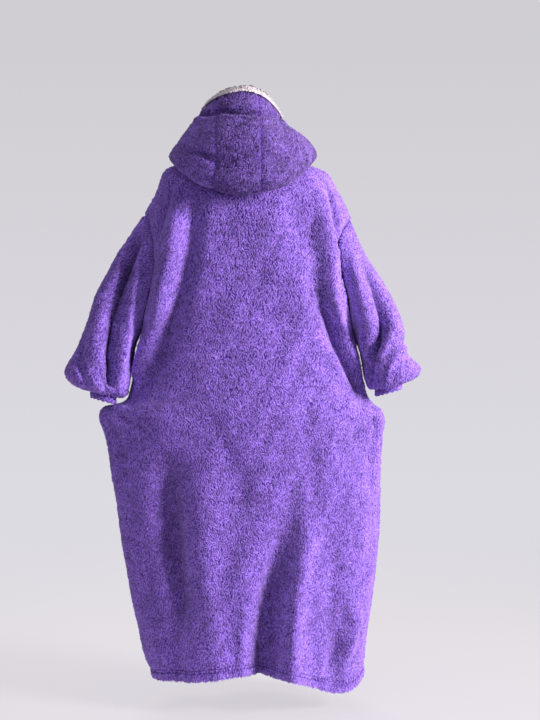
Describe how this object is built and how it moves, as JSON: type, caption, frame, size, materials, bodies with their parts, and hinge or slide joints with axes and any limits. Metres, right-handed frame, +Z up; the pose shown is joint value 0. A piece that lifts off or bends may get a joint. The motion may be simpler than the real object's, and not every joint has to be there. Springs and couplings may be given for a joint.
{
  "type": "wearable blanket hoodie",
  "caption": "Long hooded blanket garment in deep-pile fleece, filled out as worn: open neck, hem and sleeves, dropped shoulders, gathered cuffs, and the hood down on the back.",
  "frame": {"origin": "the shoulder mount: middle of the neck opening, level with the inner ends of the shoulder seams, where the wearer's shoulders carry the garment", "axes": "+Z up, from hem to hood; the front faces -Y and the back +Y; +X is the wearer's left"},
  "size_m": [0.9027, 0.4668, 1.5148],
  "materials": {
    "purple_pile": "deep-pile purple fleece, short curly pile lying downwards, matt with a soft sheen",
    "cream_lining": "cream sherpa lining, short nubbly pile, matt"
  },
  "bodies": {
    "root": {"back_panel": "purple_pile", "front_panel": "purple_pile", "sleeve_left": "purple_pile", "sleeve_right": "purple_pile", "cuff_left": "purple_pile", "cuff_right": "purple_pile", "hood_left": "purple_pile", "hood_centre": "purple_pile", "hood_right": "purple_pile", "hood_lining_left": "cream_lining", "hood_lining_centre": "cream_lining", "hood_lining_right": "cream_lining"}
  },
  "joints": []
}
